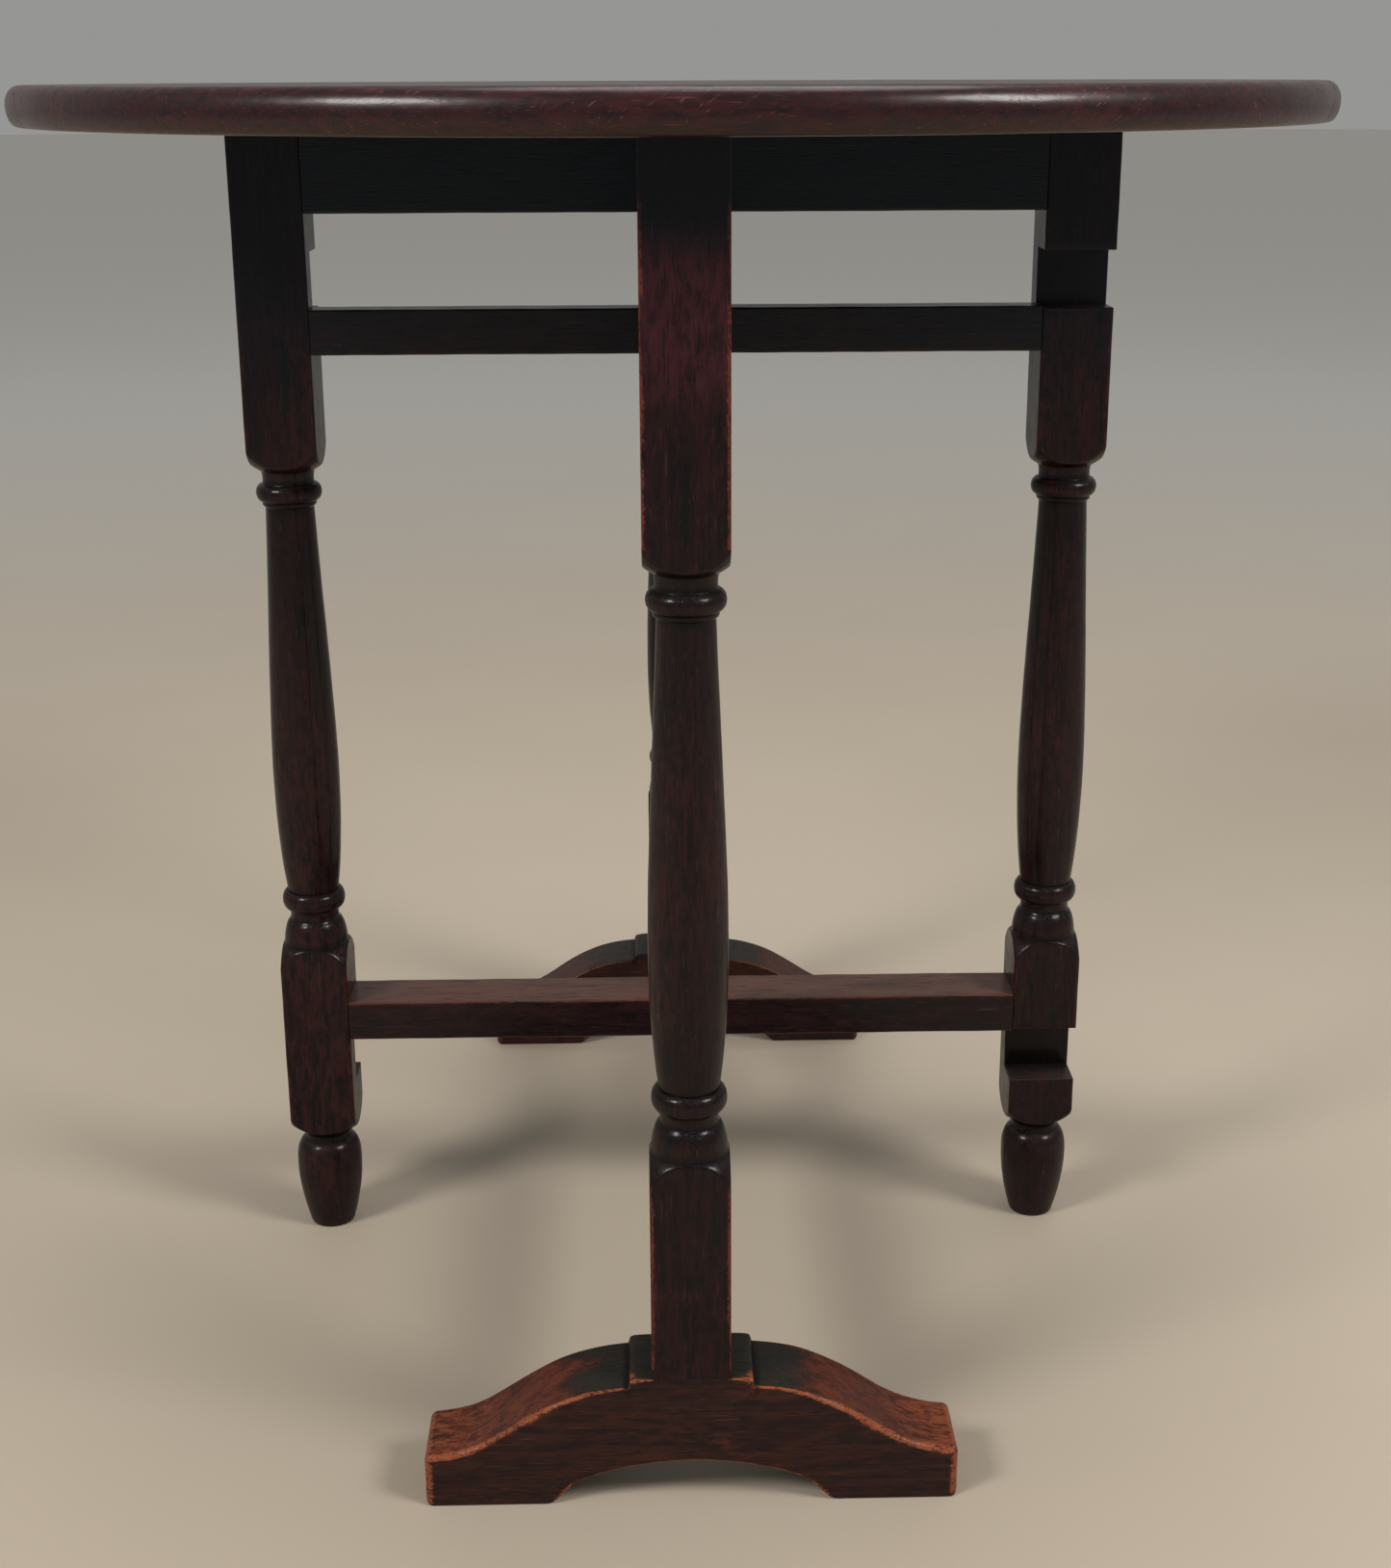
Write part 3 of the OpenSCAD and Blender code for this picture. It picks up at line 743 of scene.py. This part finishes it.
def tread(t, colour, grain, tones, amount):
    """The upper faces of a foot: grey with dust beside the post, and trodden red further out."""
    place = t.add("SeparateXYZ", {0: t.add("TexCoord").outputs["Object"]})
    up = facing_up(t)
    along = t.math("ABSOLUTE", place.outputs["X"])
    uneven = t.math("ADD", along, t.around_zero(grain.patch, 0.09))
    red = t.math("MULTIPLY", t.ramp(uneven, *TREAD_REDDENS), t.ramp(grain.mottle, 0.36, 0.58, 0.4, 1.0))
    red = t.math("MULTIPLY", red, t.ramp(grain.patch, 0.34, 0.56, 0.5, 1.0))
    dust = t.math("MULTIPLY", up, t.ramp(uneven, *TREAD_LOSES_DUST, 0.0, 0.85))
    colour = t.mix(t.math("MULTIPLY", up, t.math("MULTIPLY", red, amount)), colour, tones["warm"])
    bare = t.math("MULTIPLY", t.ramp(uneven, *TREAD_BARES), t.ramp(grain.mottle, 0.4, 0.6))
    bare = t.math("MULTIPLY", t.math("MULTIPLY", bare, up), 0.6 * amount)
    return t.mix(dust, t.mix(bare, colour, tones["worn"]), tones["dust"])


def rounded_over(t):
    """1 on the shoulder of the top's edge, between its flat and its upright part."""
    facing = t.add("SeparateXYZ", {0: t.add("TexCoord").outputs["Normal"]}).outputs["Z"]
    return t.math("MULTIPLY", t.ramp(facing, 0.6, 0.85), t.ramp(facing, 0.985, 0.93))


def oak(name, tones, axis, seed, gloss=0.34, wear=1.0, under_top_shade=0.0, shade_span=(0.5, 0.63), rubbed=0.5,
        chafed=0.45, blush=None, trodden=0.0, dusty=0.0, knocked=0.0, shine=0.09, coat=0.32, relief=1.0):
    """Stained oak with its grain along axis, worn pale on the arrises and darkened with painted shade in
    hollows.

    Painted shade under the top darkens what is high up, by its amount, from the first height of its span
    to the second.
    rubbed is how much of the flat is rubbed warm, and chafed how much of it is worn in patches.
    blush gives the heights between which a redder stretch fades in, and out again.
    trodden is how much a foot's upper faces are worn, and dusty greys what faces up.
    knocked is for the fine slanting scratches and the rubbed shoulder of the top's edge.
    shine and coat are the levels of the stain's and the wax's reflections.
    relief is the depth of the pores.
    """
    t = Tree(name)
    grain = Grain(t, axis, seed)
    fine_figure = t.math("MULTIPLY", grain.streaks, 0.55)
    figure = t.math("ADD", fine_figure, t.math("MULTIPLY", grain.mottle, 0.45))
    colour = t.mix(t.ramp(figure, 0.38, 0.62), tones["deep"], tones["mid"])
    warmth = t.math("MULTIPLY", t.ramp(grain.cloud, 0.42, 0.68), t.ramp(grain.mottle, 0.4, 0.62))
    colour = t.mix(t.math("MULTIPLY", warmth, rubbed), colour, tones["warm"])
    if blush:
        zone = t.math("MULTIPLY", heights(t, *blush[0]), heights(t, *blush[1]))
        zone = t.math("MULTIPLY", zone, t.ramp(grain.mottle, 0.34, 0.6, 0.15, 0.62))
        colour = t.mix(zone, colour, tones["blush"])
    colour = t.mix(t.math("MULTIPLY", grain.rings, 0.12), colour, tones["warm"])
    colour = t.mix(t.math("MULTIPLY", t.ramp(grain.flecks, 0.6, 0.7), rubbed), colour, tones["warm"])
    if trodden:
        colour = tread(t, colour, grain, tones, trodden)
    if dusty:
        settled = t.math("MULTIPLY", facing_up(t), t.ramp(grain.patch, 0.3, 0.6, 0.5 * dusty, dusty))
        colour = t.mix(settled, colour, tones["dust"])

    near = t.add("Attribute", attribute_name="wear").outputs["Fac"]
    ragged = t.math("ADD", t.around_zero(grain.patch, 1.1), t.around_zero(grain.mottle, 1.3))
    broken = t.math("ADD", near, ragged)
    spotted = t.math("ADD", broken, t.around_zero(grain.speck, 1.6))
    edge = t.math("MULTIPLY", t.ramp(spotted, 0.66, 1.12), wear)
    halo = t.math("MULTIPLY", t.ramp(broken, 0.35, 0.9), 0.5 * wear)
    colour = t.mix(halo, colour, tones["warm"])
    colour = t.mix(edge, colour, tones["worn"])
    rub = t.math("MULTIPLY", t.ramp(grain.patch, 0.58, 0.7), t.ramp(grain.mottle, 0.44, 0.6))
    colour = t.mix(t.math("MULTIPLY", rub, chafed * wear), colour, tones["worn"])
    colour = t.mix(t.math("MULTIPLY", grain.scratches, 0.22), colour, tones["scratch"])
    if knocked:
        thin = t.math("MULTIPLY", rounded_over(t), t.ramp(grain.mottle, 0.5, 0.64))
        colour = t.mix(t.math("MULTIPLY", thin, 0.5 * knocked), colour, tones["worn"])
        colour = t.mix(t.math("MULTIPLY", grain.knocks, 0.5 * knocked), colour, tones["scratch"])
    colour = t.mix(t.math("MULTIPLY", grain.pores, 0.65), colour, tones["pore"])

    # Painted shade: near-black in creases and recesses, where two faces meet in a hollow
    hollow_shade = t.add("Attribute", attribute_name="hollow_shade").outputs["Fac"]
    colour = t.mix(t.math("MULTIPLY", t.ramp(hollow_shade, 0.15, 0.9), 0.7), colour, HOLLOW_SHADE)
    # Painted shade under the top: blue-black high up, where the top shades the frame
    if under_top_shade:
        colour = t.mix(t.math("MULTIPLY", heights(t, *shade_span), under_top_shade), colour, UNDER_TOP_SHADE)
    t.put(t.shader.inputs["Base Color"], colour)

    rough = t.ramp(grain.cloud, 0.3, 0.7, gloss - 0.05, gloss + 0.08)
    rough = t.math("ADD", rough, t.math("MULTIPLY", grain.pores, 0.25))
    rough = t.math("ADD", rough, t.math("MULTIPLY", edge, 0.1))
    t.put(t.shader.inputs["Roughness"], rough)
    t.put(t.shader.inputs["Specular IOR Level"], shine)
    t.put(t.shader.inputs["Coat Weight"], coat)
    t.put(t.shader.inputs["Coat Roughness"], 0.17)
    height = t.math("SUBTRACT", t.math("MULTIPLY", grain.streaks, 0.35), grain.pores)
    fine = t.add("Bump", {"Strength": 0.4 * relief, "Distance": 0.00025, "Height": height})
    values = {"Strength": 0.35, "Distance": 0.0012, "Height": grain.hand, "Normal": fine.outputs[0]}
    normal = t.add("Bump", values).outputs[0]
    t.put(t.shader.inputs["Normal"], normal)
    t.put(t.shader.inputs["Coat Normal"], normal)
    return t.material


def metal(name, bright, dull, roughness):
    """Old bare metal, clean where it is rubbed and dull in clouds."""
    t = Tree(name)
    place = t.add("TexCoord").outputs["Object"]
    cloud = t.noise(place, scale=140, detail=5, rough=0.65)
    scratch = t.noise(t.stretched(60, 2400, "X", (0.3, 0.1, 0.7)), detail=2)
    share = t.ramp(cloud, 0.4, 0.66)
    t.put(t.shader.inputs["Base Color"], t.mix(share, bright, dull))
    t.put(t.shader.inputs["Metallic"], 1.0)
    t.put(t.shader.inputs["Roughness"], t.ramp(cloud, 0.3, 0.7, roughness - 0.08, roughness + 0.2))
    height = t.math("ADD", t.math("MULTIPLY", cloud, 0.5), t.math("MULTIPLY", scratch, 0.5))
    bump = t.add("Bump", {"Strength": 0.25, "Distance": 0.0002, "Height": height})
    t.put(t.shader.inputs["Normal"], bump.outputs[0])
    return t.material


# ---- putting it together ------------------------------------------------------------------------

FIXED, GATE = "fixed_frame", "swing_gate"
FRONT, REAR = "front_leaf_assembly", "rear_leaf_assembly"
FAR = 1000


def finish_wood(piece, node, body, material, sheltered, reach=ARRIS_REACH):
    """Ages a piece of wood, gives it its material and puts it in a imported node's place."""
    age(piece, reach, sheltered)
    piece.data.materials.clear()
    piece.data.materials.append(material)
    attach(piece, body)
    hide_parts(node)


def layer(low, high):
    """A box between two heights that takes in everything else."""
    return (-FAR, -FAR, low), (FAR, FAR, high)


def rail_section(node, axis):
    """A packed rail's section, across and up, without its tenons' length."""
    low, high = node_box(node)
    across = 1 if axis == "X" else 0
    return (low[across], low[2]), (high[across], high[2])


# Where turned work keeps its stain: the carved shoulders, fillets and necks
TURNED_SHELTER = [layer(482, 512), layer(470, 476), layer(203, 236), layer(184, 199), layer(56, 84)]
# How far round a joint the wood keeps its stain
JOINT_MARGIN, SHOULDER_MARGIN, POST_HEAD = 3, 2, 30
# The raised step of a foot, which is worn only along its outer edge, and heights on the foot
STEP_HALF, STEP_FOOT, WORN_STEP_FRONT = 35, 68, 7
SOCKET_SHELTER, PAD_SHELTER = 34, 3
# Heights in metres between which the front post's redder stretch fades in, and out again
BLUSH = (0.565, 0.585), (0.655, 0.635)
# Heights in metres over which painted shade darkens the posts towards the top
POST_SHADE_SPAN = (0.625, 0.665)


def build_legs():
    """Both legs, with their notches and mortises."""
    sections = [rail_section(n, "X") for n in ("top_rail", "middle_rail", "lower_stretcher")]
    for name, side, seed in (("left_leg", -1, 11), ("right_leg", 1, 31)):
        piece = turned_piece(name + "_oak", side * LEG_X, 0, UNDER_TOP, seed)
        cutters = [flared_notch(side * LEG_X, 0, -side, span) for span in (UPPER_NOTCH, LOWER_NOTCH)]
        cutters += [mortise(side * LEG_X, 0, "X", low, high) for low, high in sections]
        carve(piece, cutters)
        face = side * (LEG_X - HALF)
        sheltered = [*TURNED_SHELTER, layer(UNDER_TOP - SHOULDER_MARGIN, FAR)]
        for low, high in sections:
            sheltered.append(((face - JOINT_MARGIN, low[0] - JOINT_MARGIN, low[1] - 1),
                              (face + JOINT_MARGIN, high[0] + 1, high[1] + 1)))
        material = oak(name + "_wood", FRAME_TONES, "Z", seed, wear=0.16, under_top_shade=0.62, dusty=0.45,
                       shine=0.05)
        finish_wood(piece, name, FIXED, material, sheltered)


def build_posts():
    """Both posts of the gate, with their mortises."""
    sections = [rail_section(n, "Y") for n in ("gate_upper_rail", "gate_lower_rail")]
    for name, side, seed, blush in (("front_post", -1, 51, BLUSH), ("rear_post", 1, 71, None)):
        piece = turned_piece(name + "_oak", 0, side * POST_Y, POST_HIGH[2], seed, feet=False)
        carve(piece, [mortise(0, side * POST_Y, "Y", low, high) for low, high in sections])
        face = side * (POST_Y - HALF)
        sheltered = [
            *TURNED_SHELTER,
            layer(POST_HIGH[2] - POST_HEAD, FAR),
            layer(-FAR, FOOT_TOP + SHOULDER_MARGIN),
        ]
        for low, high in sections:
            sheltered.append(((low[0] - 1, face - JOINT_MARGIN, low[1] - 1),
                              (high[0] + 1, face + JOINT_MARGIN, high[1] + 1)))
        material = oak(name + "_wood", FRAME_TONES, "Z", seed, wear=0.9, under_top_shade=0.75,
                       shade_span=POST_SHADE_SPAN, chafed=0.25, blush=blush, dusty=0.45, shine=0.05)
        finish_wood(piece, name, GATE, material, sheltered)


def build_rails():
    """The rails of the frame and of the gate, with their holes. Each row has the rail's name, axis,
    reach, body and seed, and how much painted shade darkens it under the top and how worn it is."""
    frame_reach, gate_reach = LEG_X - HALF, POST_Y - HALF
    rails = (
        ("top_rail", "X", frame_reach, FIXED, 101, 0.95, 0.1),
        ("middle_rail", "X", frame_reach, FIXED, 111, 0.9, 0.2),
        ("lower_stretcher", "X", frame_reach, FIXED, 121, 0.0, 0.55),
        ("gate_upper_rail", "Y", gate_reach, GATE, 131, 0.7, 0.3),
        ("gate_lower_rail", "Y", gate_reach, GATE, 141, 0.0, 0.3),
    )
    for name, axis, reach, body, seed, under_top_shade, wear in rails:
        low, high = rail_section(name, axis)
        piece = rail(name + "_oak", axis, reach, low, high, seed)
        if name == "top_rail":
            middle = (low[0] + high[0]) / 2
            carve(piece, [
                bore(x, middle, low[1] - PAST, low[1] + COUNTERBORE_H, COUNTERBORE_R)
                for x in (-TOP_SCREW_X, 0, TOP_SCREW_X)
            ])
        elif name == "middle_rail":
            block_low, block_high = node_box("pivot_block")
            carve(piece, [block((block_low[0], block_low[1], low[1] - PAST),
                                (block_high[0], high[0] + PAST, high[1] + PAST))])
        else:
            carve(piece, [bore(0, 0, low[1] - PAST, high[1] + PAST, PIVOT_R + PIVOT_GAP)])
        along = "XY".index(axis)
        sheltered = []
        for way in (-1, 1):
            ends = sorted([way * (reach - SHOULDER_MARGIN), way * (reach + FAR)])
            corner_low, corner_high = [-FAR] * 3, [FAR] * 3
            corner_low[along], corner_high[along] = ends
            sheltered.append((corner_low, corner_high))
        material = oak(name + "_wood", RAIL_TONES, axis, seed, wear=wear, under_top_shade=under_top_shade,
                       dusty=0.0 if under_top_shade else 0.8)
        finish_wood(piece, name, body, material, sheltered)


def build_feet():
    """Both sledge feet of the gate."""
    hidden = POST_TENON_HALF + JOINT_MARGIN
    step_back = POST_Y + HALF - WORN_STEP_FRONT
    for name, side, seed, worn in (("front_foot", -1, 161, 1.0), ("rear_foot", 1, 171, 0.3)):
        low, high = node_box(name)
        piece = sledge_foot(name + "_oak", side, low[1], high[1], seed)
        sheltered = [
            ((-hidden, side * POST_Y - hidden, SOCKET_SHELTER), (hidden, side * POST_Y + hidden, FAR)),
            ((-HALF, -FAR, FOOT_TOP - JOINT_MARGIN), (HALF, FAR, FAR)),
            ((-STEP_HALF, -step_back, STEP_FOOT), (STEP_HALF, step_back, FAR)),
            layer(-1, PAD_SHELTER),
        ]
        material = oak(name + "_wood", FOOT_TONES, "X", seed, gloss=0.42, wear=worn, rubbed=0.16,
                       chafed=0.1, trodden=worn, coat=0.14)
        finish_wood(piece, name, GATE, material, sheltered, FOOT_REACH)


def build_top():
    """The centre board and both leaves."""
    boards = (
        (centre_board(), "centre_top", FIXED, 201),
        (leaf("front_leaf_board", -1), "front_leaf", FRONT, 211),
        (leaf("rear_leaf_board", 1), "rear_leaf", REAR, 221),
    )
    for piece, node, body, seed in boards:
        material = oak(node + "_wood", TOP_TONES, "X", seed, gloss=0.3, wear=0.3, knocked=1.0,
                       shine=0.28, coat=0.23, relief=0.2)
        finish_wood(piece, node, body, material, [layer(-FAR, UNDER_TOP + 3)])


def soften(node, width, segments=2):
    """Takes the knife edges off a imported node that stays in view."""
    edge = frame["nodes"][node].modifiers.new("edges", "BEVEL")
    edge.width, edge.segments, edge.limit_method = width * MM, segments, "ANGLE"
    edge.angle_limit = math.radians(40)


def dress_nodes():
    """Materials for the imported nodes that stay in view."""
    steel = metal("old_steel", rgb(150, 145, 136), rgb(78, 70, 62), 0.38)
    brass = metal("old_brass", rgb(138, 112, 74), rgb(92, 74, 50), 0.4)
    # The small blocks sit high up under the top, so they take the painted shade there too
    small_oak = oak("small_block_wood", FRAME_TONES, "Y", 241, wear=0.3, under_top_shade=0.8)
    slots = {row["node"]: row["material_slot"] for row in frame["record"]["subparts"]}
    for name, node in frame["nodes"].items():
        if node.hide_render:
            continue
        if slots[name] == STEEL_SLOT:
            finish = steel
            soften(name, 0.12)
        elif slots[name] == BRASS_SLOT:
            finish = brass
            soften(name, 0.2)
        else:
            finish = small_oak
            soften(name, 0.7, 3)
        node.data.materials.clear()
        node.data.materials.append(finish)


# ---- camera, light and floor --------------------------------------------------------------------

SENSOR, LENS = 36.0, 50.43
SHIFT_X, SHIFT_Y = -0.00491, -0.00209
CAMERA_PLACE = (-0.0156, -1.2927, 0.7139)
LOOK_DOWN, YAW, ROLL = 17.82, -1.33, -0.223
WINDOW_AIM, WINDOW_TINT = (0, 0, 0.5), (1, 0.98, 0.95)
FLOOR_RADIUS, FLOOR_STEPS = 30000, 96


def place_camera():
    """The viewing angle of the picture: just above the top, looking down at the front foot."""
    data = bpy.data.cameras.new("view")
    data.sensor_width, data.lens = SENSOR, LENS
    data.shift_x, data.shift_y = SHIFT_X, SHIFT_Y
    camera = bpy.data.objects.new("view", data)
    bpy.context.scene.collection.objects.link(camera)
    camera.location = CAMERA_PLACE
    pitch, yaw, roll = (math.radians(angle) for angle in (90 - LOOK_DOWN, YAW, ROLL))
    turn = Euler((pitch, 0, yaw), "XYZ").to_quaternion() @ Euler((0, 0, roll)).to_quaternion()
    camera.rotation_mode = "QUATERNION"
    camera.rotation_quaternion = turn
    bpy.context.scene.camera = camera


def area_light(name, place, target, size, power, colour=(1, 1, 1)):
    """A round lamp at a place, aimed at a target."""
    data = bpy.data.lights.new(name, "AREA")
    data.shape, data.size, data.energy, data.color = "DISK", size, power, colour
    lamp = bpy.data.objects.new(name, data)
    bpy.context.scene.collection.objects.link(lamp)
    lamp.location = place
    aim = Vector(target) - Vector(place)
    lamp.rotation_mode = "QUATERNION"
    lamp.rotation_quaternion = aim.to_track_quat("-Z", "Y")


def light_room():
    """Dim even light, with two small windows in front and a soft ceiling."""
    world = bpy.data.worlds.new("studio")
    bpy.context.scene.world = world
    world.use_nodes = True
    background = world.node_tree.nodes["Background"]
    background.inputs["Color"].default_value = (0.95, 0.95, 0.92, 1)
    background.inputs["Strength"].default_value = 0.32
    area_light("left_window", (-1.9, -1.6, 2.1), WINDOW_AIM, 0.88, 44, WINDOW_TINT)
    area_light("right_window", (1.95, -1.3, 2.1), WINDOW_AIM, 0.95, 42, WINDOW_TINT)
    area_light("ceiling", (0.2, 0.3, 2.8), (0, 0, 0), 1.8, 26)


def lay_floor():
    """A plain pale floor, round, so that it looks the same from every side, and paler far out."""
    a = np.linspace(0, 2 * math.pi, FLOOR_STEPS, endpoint=False)
    rim = FLOOR_RADIUS * np.column_stack([np.cos(a), np.sin(a), np.zeros(FLOOR_STEPS)])
    floor = make_mesh("floor", rim, [list(range(FLOOR_STEPS))])
    t = Tree("pale_floor")
    place = t.add("TexCoord").outputs["Object"]
    distance = t.add("VectorMath", {0: place}, operation="LENGTH").outputs["Value"]
    cloud = t.noise(place, scale=3, detail=3)
    near = t.mix(cloud, (0.50, 0.42, 0.33, 1), (0.55, 0.47, 0.37, 1))
    colour = t.mix(t.ramp(distance, 1.0, 4.5), near, (0.84, 0.82, 0.78, 1))
    t.put(t.shader.inputs["Base Color"], colour)
    t.put(t.shader.inputs["Roughness"], 0.6)
    floor.data.materials.append(t.material)


bpy.context.scene.view_settings.view_transform = "Standard"
place_camera()
light_room()
lay_floor()
build_legs()
build_posts()
build_rails()
build_feet()
build_top()
dress_nodes()
